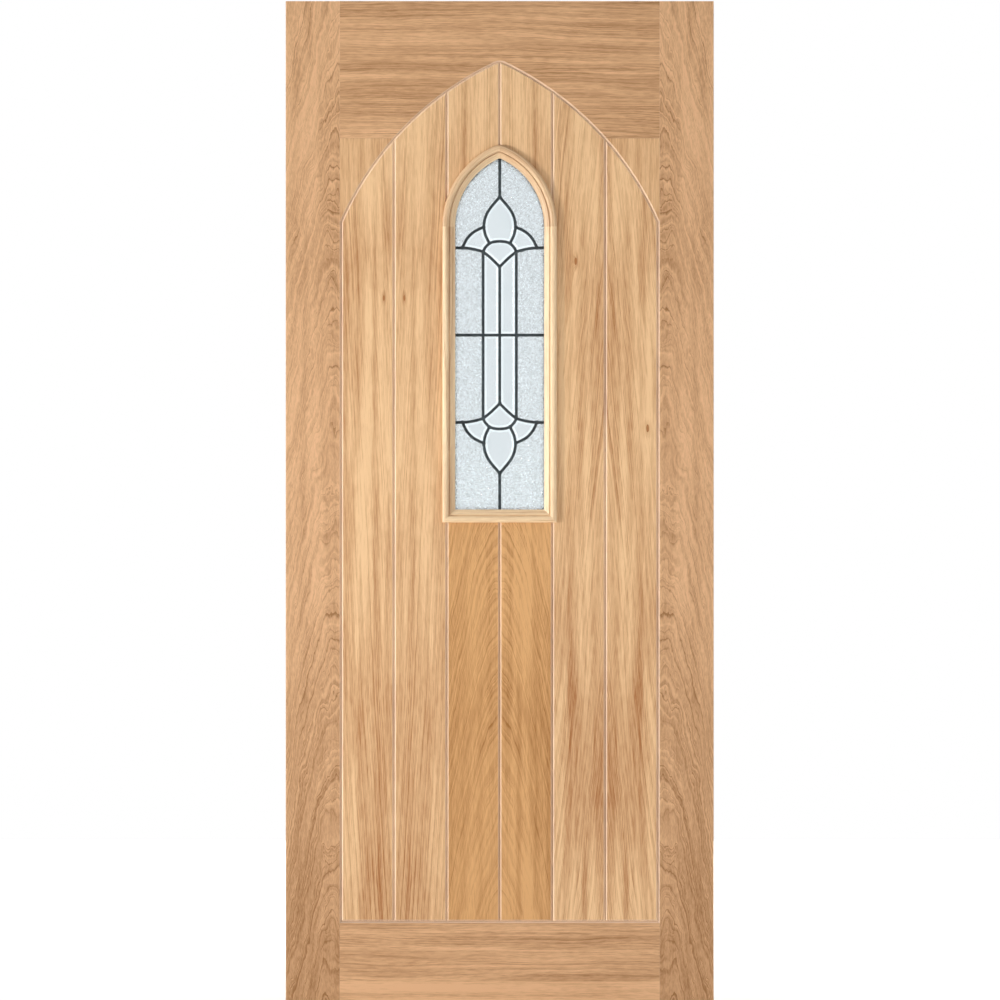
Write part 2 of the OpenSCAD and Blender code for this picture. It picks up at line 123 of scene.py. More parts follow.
class DoorGlass(bpy.types.PropertyGroup):
    lead: colour("Lead", "Patinated lead of the cames", "#43494D")
    clear: colour("Clear glass", "Faint tint of the clear and bevelled glass", "#FBFEFE")
    textured: colour("Textured glass", "Faint tint of the stippled glass", "#F8FBFD")
    bevel: length("Bevel width", "Width of the ground bevel on each clear piece", 6 * MM)
    stipple: length("Stipple", "Spacing of the hammered texture", 3.2 * MM)


class DoorStage(bpy.types.PropertyGroup):
    floor: colour("Floor", "Plain pale floor", "#F4F4F2")
    view_height: length("Height in view", "How much of the leaf's height the camera takes in", 1.957)
    view_level: length("Camera height", "Height of the level camera", 1.0047)
    view_side: length("Camera offset", "How far right of the leaf's middle the camera stands", 0.6 * MM)
    floor_half: length("Floor", "Half the side of the square floor", 5.5)


# ---- materials -------------------------------------------------------------------------


def add(tree, kind, inputs=(), out=0, **settings):
    """Adds one node, sets and links it, and gives back the chosen output."""
    made = tree.nodes.new(kind)
    for key, value in settings.items():
        setattr(made, key, value)
    pairs = inputs.items() if isinstance(inputs, dict) else enumerate(inputs)
    for key, value in pairs:
        if isinstance(value, bpy.types.NodeSocket):
            tree.links.new(value, made.inputs[key])
        elif value is not None:
            made.inputs[key].default_value = value
    return made.outputs[out] if made.outputs else made


def new_material(name):
    """An empty node material and its tree."""
    made = bpy.data.materials.new(name)
    made.use_nodes = True
    made.node_tree.nodes.clear()
    return made, made.node_tree


def finish_material(tree, shader):
    """Sends the shader to the material's output."""
    add(tree, "ShaderNodeOutputMaterial", [shader])


def principled(tree, inputs):
    """Ends a material with a principled shader."""
    finish_material(tree, add(tree, "ShaderNodeBsdfPrincipled", inputs))


# Millimetres along the flitch between two leaves of veneer that meet at a glue joint.
NEXT_LEAF = 977.0


def oak_figure():
    """Node group for sawn oak. Place is in millimetres: X across the board, Y deep, Z along it."""
    tree = bpy.data.node_groups.new("oak_figure", "ShaderNodeTree")
    face = tree.interface
    inputs = {
        "Place": "Vector",
        "Pale": "Color",
        "Dark": "Color",
        "Pith": "Vector",
        "Ring": 4.2,
        "Taper": 0.02,
        "Wander": 14,
        "Curl": 3,
        "Ripple": 160,
        "Dash": 30,
        "Shade": 0.32,
        "Bands": 0.5,
        "Lines": 0.4,
        "Pores": 0.9,
        "Knot": "Vector",
        "Joint": -1e6,
        "Foot_shade": 0,
    }
    for label, start in inputs.items():
        kind = start if isinstance(start, str) else "Float"
        socket = face.new_socket(label, in_out="INPUT", socket_type=f"NodeSocket{kind}")
        if kind == "Float":
            socket.default_value = start
    for label, kind in (("Color", "Color"), ("Roughness", "Float"), ("Height", "Float")):
        face.new_socket(label, in_out="OUTPUT", socket_type=f"NodeSocket{kind}")
    given = tree.nodes.new("NodeGroupInput").outputs

    def maths(operation, *inputs, **settings):
        return add(tree, "ShaderNodeMath", inputs, operation=operation, **settings)

    def times(a, b):
        return maths("MULTIPLY", a, b)

    def plus(a, b):
        return maths("ADD", a, b)

    def vectors(operation, *inputs, out=0):
        return add(tree, "ShaderNodeVectorMath", inputs, out=out, operation=operation)

    def grain_noise(place, across, along, detail, rough=0.5, out=0):
        """Noise whose grains are this many millimetres across and along the board."""
        size = add(tree, "ShaderNodeCombineXYZ", [across, across, along])
        squeezed = vectors("DIVIDE", place, size)
        return add(
            tree,
            "ShaderNodeTexNoise",
            {"Vector": squeezed, "Scale": 1.0, "Detail": detail, "Roughness": rough},
            out=out,
        )

    def shift(noise_colour, amount):
        """A noise colour turned into a sideways shift of up to half this amount."""
        centred = vectors("SUBTRACT", noise_colour, (0.5, 0.5, 0.5))
        return vectors("SCALE", centred, None, None, amount)

    # Beyond a glue joint the wood is another leaf of veneer.
    across = add(tree, "ShaderNodeSeparateXYZ", [given["Place"]])
    leaf = maths("GREATER_THAN", given["Joint"], across)
    other = add(tree, "ShaderNodeCombineXYZ", [0.0, 0.0, times(leaf, NEXT_LEAF)])
    place = vectors("ADD", given["Place"], other)

    slow = shift(grain_noise(place, 60, 420, 2.0, out=1), given["Wander"])
    ripple = shift(grain_noise(place, 20, given["Ripple"], 3.0, 0.5, out=1), given["Curl"])
    bent = vectors("ADD", vectors("ADD", place, slow), ripple)

    # A knot pushes the rings round itself. Knot is its place across and along, and its radius.
    knot = add(tree, "ShaderNodeSeparateXYZ", [given["Knot"]])
    knot_r = knot.node.outputs[2]
    spot = add(tree, "ShaderNodeSeparateXYZ", [place])
    spot_z = spot.node.outputs[2]
    dx = maths("SUBTRACT", spot, knot)
    dz = times(maths("SUBTRACT", spot_z, knot.node.outputs[1]), 0.36)
    away = maths("SQRT", plus(times(dx, dx), times(dz, dz)))
    fade = maths("EXPONENT", maths("DIVIDE", times(away, -0.55), plus(knot_r, 0.01)))
    knot_pull = times(fade, times(knot_r, 6.0))

    from_pith = vectors("MULTIPLY", vectors("SUBTRACT", bent, given["Pith"]), (1, 1, 0))
    radius = vectors("LENGTH", from_pith, out=1)
    along = add(tree, "ShaderNodeSeparateXYZ", [bent], out=2)
    grown = plus(radius, times(along, given["Taper"]))
    grown = plus(grown, knot_pull)
    four_rings = times(given["Ring"], 4.0)
    uneven = add(
        tree,
        "ShaderNodeTexNoise",
        {"W": maths("DIVIDE", grown, four_rings), "Scale": 1.0, "Detail": 1.0},
        noise_dimensions="1D",
    )
    grown = plus(grown, times(uneven, times(given["Ring"], 3.5)))
    rings = maths("DIVIDE", grown, given["Ring"])
    year = maths("FRACT", rings)
    # Open early wood starts sharply, dark, and fades into close, pale late wood.
    line = add(tree, "ShaderNodeValToRGB", [year])
    ramp = line.node.color_ramp
    for at, value in ((0.0, 0.3), (0.14, 1.0), (0.42, 0.4), (0.72, 0.0), (1.0, 0.3)):
        stop = ramp.elements.new(at) if at not in (0.0, 1.0) else ramp.elements[int(at)]
        stop.color = (value, value, value, 1)
    strength = add(
        tree, "ShaderNodeTexWhiteNoise", {"W": maths("FLOOR", rings)}, noise_dimensions="1D"
    )
    plain = add(tree, "ShaderNodeMapRange", [grain_noise(place, 50, 900, 1.0), 0.4, 0.62, 0.45, 1.1])
    line = times(line, plus(times(strength, 0.8), 0.3))
    line = times(line, plain)

    # Real pores are a tenth of a millimetre wide. These are coarser, so that they show.
    ring_place = add(tree, "ShaderNodeCombineXYZ", [grown, 0.0, along])
    streaks = grain_noise(ring_place, 2.4, 320, 2.0, 0.5)
    streaks = add(tree, "ShaderNodeMapRange", [streaks, 0.42, 0.6, 0.0, 1.0])
    dashes = grain_noise(bent, 2.4, given["Dash"], 3.0, 0.6)
    dashes = add(tree, "ShaderNodeMapRange", [dashes, 0.4, 0.62, 0.0, 1.0])
    pores = plus(times(streaks, 0.5), times(dashes, 0.5))
    in_line = plus(times(line, 0.5), 0.6)
    pores = times(pores, in_line)
    bands = grain_noise(bent, 21, 700, 2.0, 0.55)
    bands = maths("SUBTRACT", bands, 0.5)
    patches = maths("SUBTRACT", grain_noise(place, 70, 260, 1.0), 0.5)

    depth = maths("MULTIPLY_ADD", maths("SUBTRACT", line, 0.22), given["Lines"], given["Shade"])
    depth = maths("MULTIPLY_ADD", maths("SUBTRACT", pores, 0.35), given["Pores"], depth)
    depth = plus(depth, times(bands, times(given["Bands"], 2.4)))
    depth = plus(depth, times(patches, given["Bands"]))
    depth = maths("SUBTRACT", depth, times(leaf, 0.25))
    # Painted shade: the piece is browner towards its foot, where less light falls.
    foot_shade = add(tree, "ShaderNodeMapRange", [spot_z, 150.0, 800.0, given["Foot_shade"], 0.0])
    depth = plus(depth, foot_shade)
    heart = maths("LESS_THAN", away, knot_r)
    halo_r = times(knot_r, 3.2)
    halo = add(tree, "ShaderNodeMapRange", [away, knot_r, halo_r, 1.0, 0.0])
    knot_dark = plus(times(halo, 0.45), times(heart, 0.9))
    knot_dark = times(knot_dark, maths("GREATER_THAN", knot_r, 0.05))
    tone = maths("MAXIMUM", maths("MINIMUM", plus(depth, knot_dark), 1.05), -0.2)
    mixed = add(
        tree,
        "ShaderNodeMix",
        {0: tone, 6: given["Pale"], 7: given["Dark"]},
        out=2,
        data_type="RGBA",
        clamp_factor=False,
    )
    rough = plus(times(pores, 0.2), 0.4)
    height = maths("SUBTRACT", 1.0, pores)
    add(tree, "NodeGroupOutput", [mixed, rough, height])
    return tree


# Pale oak, and how much of it goes into the painted highlight on the slopes of the V-joints.
GROOVE_HIGHLIGHT_OAK = "#FBE6D2"
GROOVE_HIGHLIGHT_AMOUNT = 0.36


def oak(name, pale, dark, across="X", start=(0, 0, 0), flip=(1, 1), uv=False, **figure):
    """Sawn oak, sanded and sealed with a satin lacquer: soft gloss, with pores just to be felt.

    start is the wood's own corner in metres, across the axis that the grain crosses, and flip
    mirrors it across and in depth, as where two boards are opened like a book.
    """
    made, tree = new_material(name)
    if uv:
        place = add(tree, "ShaderNodeUVMap", uv_map="grain")
        turned = add(tree, "ShaderNodeSeparateXYZ", [place])
        place = add(tree, "ShaderNodeCombineXYZ", [turned.node.outputs[1], 0.0, turned])
    else:
        place = add(tree, "ShaderNodeTexCoord", out=3)
        if across == "Z":
            turned = add(tree, "ShaderNodeSeparateXYZ", [place])
            ends = turned.node.outputs
            place = add(tree, "ShaderNodeCombineXYZ", [ends[2], ends[1], ends[0]])
    moved = add(tree, "ShaderNodeVectorMath", [place, start], operation="SUBTRACT")
    size = (flip[0] / MM, flip[1] / MM, 1 / MM)
    moved = add(tree, "ShaderNodeVectorMath", [moved, size], operation="MULTIPLY")
    wood = add(tree, "ShaderNodeGroup", node_tree=bpy.data.node_groups["oak_figure"]).node
    tree.links.new(moved, wood.inputs["Place"])
    wood.inputs["Pale"].default_value = (*pale, 1)
    wood.inputs["Dark"].default_value = (*dark, 1)
    for label, value in figure.items():
        wood.inputs[label].default_value = value
    relief = add(
        tree,
        "ShaderNodeBump",
        {"Strength": 0.35, "Distance": 0.05 * MM, "Height": wood.outputs["Height"]},
    )
    # Painted highlight: the slopes of the V-joints, picked out by their normals, are mixed towards pale
    # oak in place of the light they catch.
    facing = add(tree, "ShaderNodeSeparateXYZ", [add(tree, "ShaderNodeTexCoord", out=1)], out=1)
    facing = add(tree, "ShaderNodeMath", [facing], operation="ABSOLUTE")
    paler = 0.0 if uv else GROOVE_HIGHLIGHT_AMOUNT
    off_edge = add(tree, "ShaderNodeMapRange", [facing, 0.4, 0.55, 0.0, paler])
    off_face = add(tree, "ShaderNodeMapRange", [facing, 0.88, 0.97, 1.0, 0.0])
    groove_highlight = add(tree, "ShaderNodeMath", [off_edge, off_face], operation="MULTIPLY")
    surface = add(
        tree,
        "ShaderNodeMix",
        {0: groove_highlight, 6: wood.outputs["Color"], 7: (*linear(GROOVE_HIGHLIGHT_OAK), 1)},
        out=2,
        data_type="RGBA",
    )
    principled(
        tree,
        {
            "Base Color": surface,
            "Roughness": wood.outputs["Roughness"],
            "IOR": 1.5,
            "Specular IOR Level": 0.35,
            "Normal": relief,
        },
    )
    return made


def mottle(tree, size_mm, detail=2.0, rough=0.5):
    """Noise over the surface, with grains of this many millimetres."""
    place = add(tree, "ShaderNodeTexCoord", out=3)
    place = add(tree, "ShaderNodeVectorMath", [place, None, None, 1 / (size_mm * MM)], operation="SCALE")
    inputs = {"Vector": place, "Scale": 1.0, "Detail": detail, "Roughness": rough}
    return add(tree, "ShaderNodeTexNoise", inputs)


def shade(tone, factor):
    """A colour made darker or paler, up to full white."""
    return tuple(min(c * factor, 1.0) for c in tone)


def two_tones(tree, noise_out, dark, pale):
    """Colours a noise between two tones. Each tone is given with the noise level where it starts."""
    tint = add(tree, "ShaderNodeValToRGB", [noise_out])
    for stop, (level, tone) in zip(tint.node.color_ramp.elements, (dark, pale)):
        stop.position = level
        stop.color = (*tone, 1)
    return tint


def patinated_lead(name, tone):
    """Milled lead came, blackened: dull dark grey with slightly lighter rubbed patches."""
    made, tree = new_material(name)
    patina = mottle(tree, 7, detail=4.0)
    grain = mottle(tree, 1.2)
    tint = two_tones(tree, patina, (0.32, shade(tone, 0.55)), (0.72, shade(tone, 1.35)))
    rough = add(tree, "ShaderNodeMapRange", [patina, 0.3, 0.7, 0.62, 0.42])
    relief = add(tree, "ShaderNodeBump", {"Strength": 0.4, "Distance": 0.15 * MM, "Height": grain})
    principled(tree, {"Base Color": tint, "Metallic": 0.45, "Roughness": rough, "Normal": relief})
    return made


def float_glass(name, tint):
    """Clear toughened float glass: see-through, with only a faint reflection."""
    made, tree = new_material(name)
    film = mottle(tree, 120, detail=1.0)
    rough = add(tree, "ShaderNodeMapRange", [film, 0.3, 0.7, 0.01, 0.03])
    through = add(tree, "ShaderNodeBsdfTransparent", [(*tint, 1)])
    mirror = add(tree, "ShaderNodeBsdfGlossy", {"Color": (1, 1, 1, 1), "Roughness": rough})
    # Reflection by angle, the same from inside the pane as from outside it.
    slant = add(tree, "ShaderNodeLayerWeight", {"Blend": 0.5}, out=1)
    edge = add(tree, "ShaderNodeMath", [slant, 5.0], operation="POWER")
    edge = add(tree, "ShaderNodeMath", [edge, 0.96, 0.04], operation="MULTIPLY_ADD")
    finish_material(tree, add(tree, "ShaderNodeMixShader", [edge, through, mirror]))
    made.surface_render_method = "BLENDED"
    return made


def cut_glass(name, tint, wave_mm, relief_mm, rough, strength):
    """Leaded glass: clear and ground to a bevel, or rolled with a hammered stipple."""
    made, tree = new_material(name)
    wave = mottle(tree, wave_mm, detail=3.0, rough=0.6)
    # Painted light and shade: the faint tint is mottled paler and darker with the relief, in place of
    # the light that the glass's relief bends.
    tint_and_painted_shade = two_tones(tree, wave, (0.25, shade(tint, 1 - strength)), (0.7, shade(tint, 1 + strength)))
    relief = add(tree, "ShaderNodeBump", {"Strength": 0.6, "Distance": relief_mm * MM, "Height": wave})
    principled(
        tree,
        {
            "Base Color": tint_and_painted_shade,
            "Roughness": rough,
            "IOR": 1.5,
            "Transmission Weight": 1.0,
            "Normal": relief,
        },
    )
    return made


def plain_trade(name, hex_colour, grain_mm, rough, metallic=0.0):
    """Hidden trade goods, such as spacer bar, foam tape, sealant and packers: dull and grainy."""
    made, tree = new_material(name)
    tone = linear(hex_colour)
    grain = mottle(tree, grain_mm, detail=3.0)
    tint = two_tones(tree, grain, (0.3, shade(tone, 0.75)), (0.7, shade(tone, 1.15)))
    bump = add(tree, "ShaderNodeBump", {"Strength": 0.3, "Distance": 0.1 * MM, "Height": grain})
    roughness = add(tree, "ShaderNodeMapRange", [grain, 0.3, 0.7, rough - 0.06, rough + 0.06])
    principled(
        tree, {"Base Color": tint, "Metallic": metallic, "Roughness": roughness, "Normal": bump}
    )
    return made


def coat(obj, material):
    """Gives a piece one material."""
    obj.data.materials.clear()
    obj.data.materials.append(material)


def ease_edges(obj, radius):
    """Sands the arrises of a carried-over solid."""
    weld = obj.modifiers.new("weld", "WELD")
    weld.merge_threshold = 0.01 * MM
    flat = obj.modifiers.new("flat", "DECIMATE")
    flat.decimate_type = "DISSOLVE"
    flat.angle_limit = math.radians(0.5)
    bevel = obj.modifiers.new("sanded", "BEVEL")
    bevel.width = radius
    bevel.segments = 2
    bevel.limit_method = "ANGLE"
    bevel.angle_limit = math.radians(30)
    bevel.use_clamp_overlap = True


# ---- window outline --------------------------------------------------------------------

ARC_STEPS = 44
TIP_STEPS = 8
GLASS_TIP_R = 6 * MM


def circle_through(half, sharp_rise):
    """Radius of an arc that leaves [half, 0] upright and reaches [0, sharp_rise]."""
    return (half**2 + sharp_rise**2) / (2 * half)


def sharp_rise():
    """Rise of the glass arch to its unrounded point, from the outer edge of the beads."""
    reach = BEAD_TOP - SPRING_Z - BEAD_W - GLASS_TIP_R
    short, tall = reach, reach + 40 * MM
    for _ in range(40):
        rise = (short + tall) / 2
        r = circle_through(GLASS_HALF, rise)
        top = math.sqrt((r - GLASS_TIP_R) ** 2 - (r - GLASS_HALF) ** 2)
        short, tall = (rise, tall) if top < reach else (short, rise)
    return rise


ARCH_RISE = sharp_rise()
ARCH_R = circle_through(GLASS_HALF, ARCH_RISE)
ARCH_CX = GLASS_HALF - ARCH_R


def window_outline(grow):
    """Outline of the glass moved outward: bottom right corner, right arc, point, and mirrored."""
    reach = ARCH_R - GLASS_TIP_R
    tip_z = SPRING_Z + math.sqrt(reach**2 - ARCH_CX**2)
    leave = math.acos(-ARCH_CX / reach)
    right = [(GLASS_HALF + grow, GLASS_Z - grow)]
    for i in range(ARC_STEPS + 1):
        a = leave * i / ARC_STEPS
        right.append((ARCH_CX + (ARCH_R + grow) * math.cos(a), SPRING_Z + (ARCH_R + grow) * math.sin(a)))
    tip_r = max(GLASS_TIP_R + grow, 0.3 * MM)
    for i in range(1, TIP_STEPS + 1):
        a = leave + (math.pi / 2 - leave) * i / TIP_STEPS
        right.append((tip_r * math.cos(a), tip_z + tip_r * math.sin(a)))
    return right + [(-x, z) for x, z in reversed(right[:-1])]


APEX = ARC_STEPS + TIP_STEPS + 1
LAST = 2 * APEX
SPANS = {
    "right": (0, 1),
    "arch_right": (1, APEX),
    "arch_left": (APEX, LAST - 1),
    "left": (LAST - 1, LAST),
    "sill": (LAST, LAST + 1),
}


# ---- mesh makers -----------------------------------------------------------------------


def mesh_object(name, bm, smooth_angle=None):
    """Turns a bmesh into a piece of the door that rides on its one body."""
    bmesh.ops.remove_doubles(bm, verts=bm.verts, dist=0.005 * MM)
    bmesh.ops.dissolve_degenerate(bm, dist=0.002 * MM, edges=bm.edges)
    bmesh.ops.recalc_face_normals(bm, faces=bm.faces)
    if smooth_angle is not None:
        for face in bm.faces:
            face.smooth = True
        for edge in bm.edges:
            edge.smooth = len(edge.link_faces) == 2 and edge.calc_face_angle(0) < smooth_angle
    mesh = bpy.data.meshes.new(name)
    bm.to_mesh(mesh)
    bm.free()
    made = bpy.data.objects.new(name, mesh)
    bpy.context.scene.collection.objects.link(made)
    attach(made, "root")
    return made


def carried(bm, section, span):
    """Carries a section of (outward, y) points round the window between two outline points."""
    first, last = span
    outlines = [window_outline(u) for u, _ in section]
    count = len(section)
    stations = []
    for k in range(last - first + 1):
        at = (first + k) % (LAST + 1)
        stations.append([Vector((o[at][0], y, o[at][1])) for o, (_, y) in zip(outlines, section)])
    uv = bm.loops.layers.uv.get("grain") or bm.loops.layers.uv.new("grain")
    rows = [[bm.verts.new(p) for p in station] for station in stations]
    girth = [0.0]
    for (u0, y0), (u1, y1) in zip(section, section[1:] + section[:1]):
        girth.append(girth[-1] + math.hypot(u1 - u0, y1 - y0))
    run = [0.0]
    for a, b in zip(stations, stations[1:]):
        run.append(run[-1] + (b[0] - a[0]).length)
    for k in range(len(rows) - 1):
        for j in range(count):
            e = (j + 1) % count
            face = bm.faces.new((rows[k][j], rows[k + 1][j], rows[k + 1][e], rows[k][e]))
            corners = ((k, j), (k + 1, j), (k + 1, j + 1), (k, j + 1))
            for loop, (station, side) in zip(face.loops, corners):
                loop[uv].uv = (run[station], girth[side])
    for row, where in ((rows[0], run[0]), (rows[-1], run[-1])):
        face = bm.faces.new(row)
        for loop, (u, y) in zip(face.loops, section):
            loop[uv].uv = (where, u - y)


NOSE_W = 13.5 * MM
QUIRK_W = 1.7 * MM
BEAD_LAP = 0.25 * MM


def bead_section():
    """Bolection bead: flat seat, rounded nose, quirk, and an ogee slope down to the glass."""
    nose_start = BEAD_W - NOSE_W
    slope = nose_start - QUIRK_W
    seat = BEAD_SEAT - BEAD_LAP
    shoulder = 0.22
    points = [(seat, 0.0), (BEAD_W, 0.0), (BEAD_W, shoulder * BEAD_H)]
    steps = 15
    for i in range(1, steps):
        a = math.pi * i / steps
        swell = math.sin(a) ** 0.75 * (1.047 - 0.1 * i / steps)
        u = BEAD_W - NOSE_W / 2 + math.cos(a) * NOSE_W / 2
        points.append((u, BEAD_H * (shoulder + (1 - shoulder) * swell)))
    points += [
        (nose_start + 0.2 * MM, 0.42 * BEAD_H),
        (nose_start - 0.5 * MM, 0.2 * BEAD_H),
        (nose_start - 1.3 * MM, 0.22 * BEAD_H),
        (slope, 0.44 * BEAD_H),
    ]
    brow = 0.46 * BEAD_H
    foot = -2.2 * MM
    for i in range(1, 11):
        t = i / 10
        fall = (1 - math.cos(math.pi * t)) / 2
        points.append((slope * (1 - t), brow + (foot - brow) * (0.55 * fall + 0.45 * t)))
    back = -(FACE_Y + BEAD_BACK_Y)
    return points + [(0.0, back), (seat, back)]


# ---- leaded pattern --------------------------------------------------------------------

CAME_W = 5.6 * MM
WEB_T = 1.5 * MM
FLANGE_T = 1.1 * MM
FLANGE_DOME = 0.75 * MM
CAME_CLEAR = 1.0 * MM
SOLDER_R = 3.9 * MM
SOLDER_DOME = 0.9 * MM
SOLDER_T = 1.6 * MM
SOLDER_UNEVEN = 0.16

# Millimetres from the middle of a window 174 wide and 688 high, right-hand upper quarter.
PATTERN_HALF = 87
PATTERN_H = 688
PATTERN_MIDDLE = 0.497
GLASS_TOP = SPRING_Z + ARCH_RISE
STRIP_X = 32.5
FAN_TIP = (0, 134.1)
FAN_JOINT = (STRIP_X, 163.6)
BUD_FOOT = (20.4, 180.2)
BUD_TIP = (0, 270.8)
PETAL_TOP = (31.3, 212)
PETAL_FOOT = (73, 171)
SIGHT_X = 98
EDGE_X = SIGHT_X - 3


def spline(points, parts):
    """Smooth curve through the points."""
    p = [Vector(q) for q in points]
    made = []
    for i in range(len(p) - 1):
        a, b, c, d = p[max(i - 1, 0)], p[i], p[i + 1], p[min(i + 2, len(p) - 1)]
        for j in range(parts):
            t = j / parts
            bend = 2 * a - 5 * b + 4 * c - d
            twist = 3 * b - a - 3 * c + d
            made.append(0.5 * (2 * b + (c - a) * t + bend * t**2 + twist * t**3))
    return made + [p[-1]]


def mirrored(points):
    """A line's mirror image, run backwards so that it carries on from the line's end."""
    return [Vector((-p.x, p.y)) for p in reversed(points)]


def leaded_curves():
    """The came lines of one quarter, each once."""
    shoulder = spline([(SIGHT_X + 22, 171), PETAL_FOOT, (52, 168.6), FAN_JOINT], 10)
    dome_side = spline([FAN_JOINT, (28.6, 171.2), BUD_FOOT], 4)
    dome_top = spline([BUD_FOOT, (10.6, 183), (0, 184)], 6)
    return {
        "shoulder": shoulder,
        "under_petal": [p for p in shoulder if p.x <= PETAL_FOOT[0] + 0.01],
        "fan_side": spline([FAN_JOINT, (16.8, 150.6), FAN_TIP], 8),
        "dome_side": dome_side,
        "dome_top": dome_top,
        "bud_low": spline([BUD_FOOT, (28, 196.5), PETAL_TOP], 6),
        "bud_high": spline([PETAL_TOP, (28.4, 229.7), (19.8, 247), BUD_TIP], 8),
        "petal_arc": spline([PETAL_TOP, (51, 202), (64.2, 188.6), PETAL_FOOT], 8),
    }


def placed(point, left, lower):
    """A point of the pattern in metres, in the chosen quarter of the window."""
    height = GLASS_TOP - GLASS_Z
    x = point[0] * GLASS_HALF / PATTERN_HALF * (-1 if left else 1)
    z = point[1] * height / PATTERN_H * (-1 if lower else 1)
    return Vector((x, GLASS_Z + PATTERN_MIDDLE * height + z))


QUARTERS = [(left, lower) for left in (False, True) for lower in (False, True)]
HALVES = [(False, False), (False, True)]


def offset_line(points, distance):
    """A polyline moved to its left."""
    normals = []
    for a, b in zip(points, points[1:]):
        d = (b - a).normalized()
        normals.append(Vector((-d.y, d.x)))
    made = []
    for i, p in enumerate(points):
        n0 = normals[max(i - 1, 0)]
        n1 = normals[min(i, len(normals) - 1)]
        n = (n0 + n1).normalized()
        made.append(p + n * distance / max(n.dot(n1), 0.5))
    return made


def crossing(first, second):
    """Where one moved side's end meets the next one's start: its place on each, and the point."""
    reach = 0.03
    a = first + [first[-1] + (first[-1] - first[-2]).normalized() * reach]
    b = [second[0] + (second[0] - second[1]).normalized() * reach] + second
    for i in range(len(a) - 2, -1, -1):
        for j in range(len(b) - 1):
            p, r = a[i], a[i + 1] - a[i]
            q, s = b[j], b[j + 1] - b[j]
            across = r.x * s.y - r.y * s.x
            if abs(across) < 1e-14:
                continue
            t = ((q - p).x * s.y - (q - p).y * s.x) / across
            v = ((q - p).x * r.y - (q - p).y * r.x) / across
            if -1e-9 <= t <= 1 + 1e-9 and -1e-9 <= v <= 1 + 1e-9:
                return i + t, j + v - 1, p + r * t
    return len(first) - 1.0, 0.0, (first[-1] + second[0]) / 2


def inset(sides, distance):
    """Corner-to-corner sides moved inward, keeping one point for each point given."""
    moved = [offset_line(side, distance) for side in sides]
    cuts = [crossing(moved[i], moved[(i + 1) % len(moved)]) for i in range(len(moved))]
    loop = []
    for i, side in enumerate(moved):
        end, _, end_point = cuts[i]
        _, start, start_point = cuts[i - 1]
        for k, p in enumerate(side[:-1]):
            if k <= start:
                loop.append(start_point)
            elif k >= end:
                loop.append(end_point)
            else:
                loop.append(p)
    return loop


def bevelled_piece(bm, sides, bevel, half_thick):
    """A clear piece: flat back, thin edge and a ground bevel up to a flat front."""
    edge = inset(sides, CAME_CLEAR)
    flat = inset(sides, CAME_CLEAR + bevel)
    lip = half_thick * 0.1
    rings = [
        [bm.verts.new((p.x, half_thick, p.y)) for p in edge],
        [bm.verts.new((p.x, lip, p.y)) for p in edge],
        [bm.verts.new((p.x, -half_thick, p.y)) for p in flat],
    ]
    count = len(edge)
    for lower_ring, upper_ring in zip(rings, rings[1:]):
        for i in range(count):
            j = (i + 1) % count
            bm.faces.new((lower_ring[i], lower_ring[j], upper_ring[j], upper_ring[i]))
    bm.faces.new(rings[0])
    bm.faces.new(rings[-1])


def in_place(sides, left, lower):
    """Sides of a piece moved to its quarter, turned so that they still run anticlockwise."""
    moved = [[placed(p, left, lower) for p in side] for side in sides]
    if left != lower:
        moved = [side[::-1] for side in reversed(moved)]
    return moved


def came_section():
    """H-shaped came: two domed flanges joined by a web."""
    half = CAME_W / 2
    web = WEB_T / 2
    slot = CAME_Y - FLANGE_T
    lip = CAME_Y - FLANGE_DOME
    steps = 8
    dome = []
    for i in range(steps + 1):
        s = -1 + 2 * i / steps
        dome.append((half * s, lip + (CAME_Y - lip) * math.sqrt(1 - 0.97 * s * s)))
    top = [(-half, slot)] + dome + [(half, slot), (web, slot)]
    return top + [(-s, -y) for s, y in top]


def came_strip(bm, path, section):
    """Carries the came section along a line of places."""
    rows = []
    for i, p in enumerate(path):
        before = (p - path[i - 1]).normalized() if i else (path[1] - p).normalized()
        after = (path[i + 1] - p).normalized() if i < len(path) - 1 else before
        along = (before + after).normalized()
        side = Vector((-along.y, along.x)) / max(along.dot(after), 0.5)
        rows.append([bm.verts.new((p.x + side.x * s, -y, p.y + side.y * s)) for s, y in section])
    for a, b in zip(rows, rows[1:]):
        for j in range(len(section)):
            e = (j + 1) % len(section)
            bm.faces.new((a[j], b[j], b[e], a[e]))
    bm.faces.new(rows[0])
    bm.faces.new(rows[-1])


def solder_joint(bm, at, seed):
    """A flattened, slightly uneven blob of solder on both faces of a came joint."""
    spokes, rings = 20, 4
    for side in (-1, 1):
        top = bm.verts.new((at.x, side * CAME_Y, at.y))
        previous = None
        for k in range(1, rings + 1):
            ring = []
            for i in range(spokes):
                a = 2 * math.pi * i / spokes
                spot = Vector((math.cos(a), math.sin(a), seed * 3.7 + side))
                r = SOLDER_R * (1 + SOLDER_UNEVEN * noise.noise(spot)) * k / rings
                drop = SOLDER_DOME * (k / rings) ** 2.2
                y = side * (CAME_Y - drop)
                ring.append(bm.verts.new((at.x + r * math.cos(a), y, at.y + r * math.sin(a))))
            for i in range(spokes):
                j = (i + 1) % spokes
                if previous is None:
                    bm.faces.new((top, ring[i], ring[j]))
                else:
                    bm.faces.new((previous[i], ring[i], ring[j], previous[j]))
            previous = ring
        under = bm.verts.new((at.x, side * (CAME_Y - SOLDER_T), at.y))
        for i in range(spokes):
            bm.faces.new((previous[i], under, previous[(i + 1) % spokes]))


# ---- what is made ----------------------------------------------------------------------

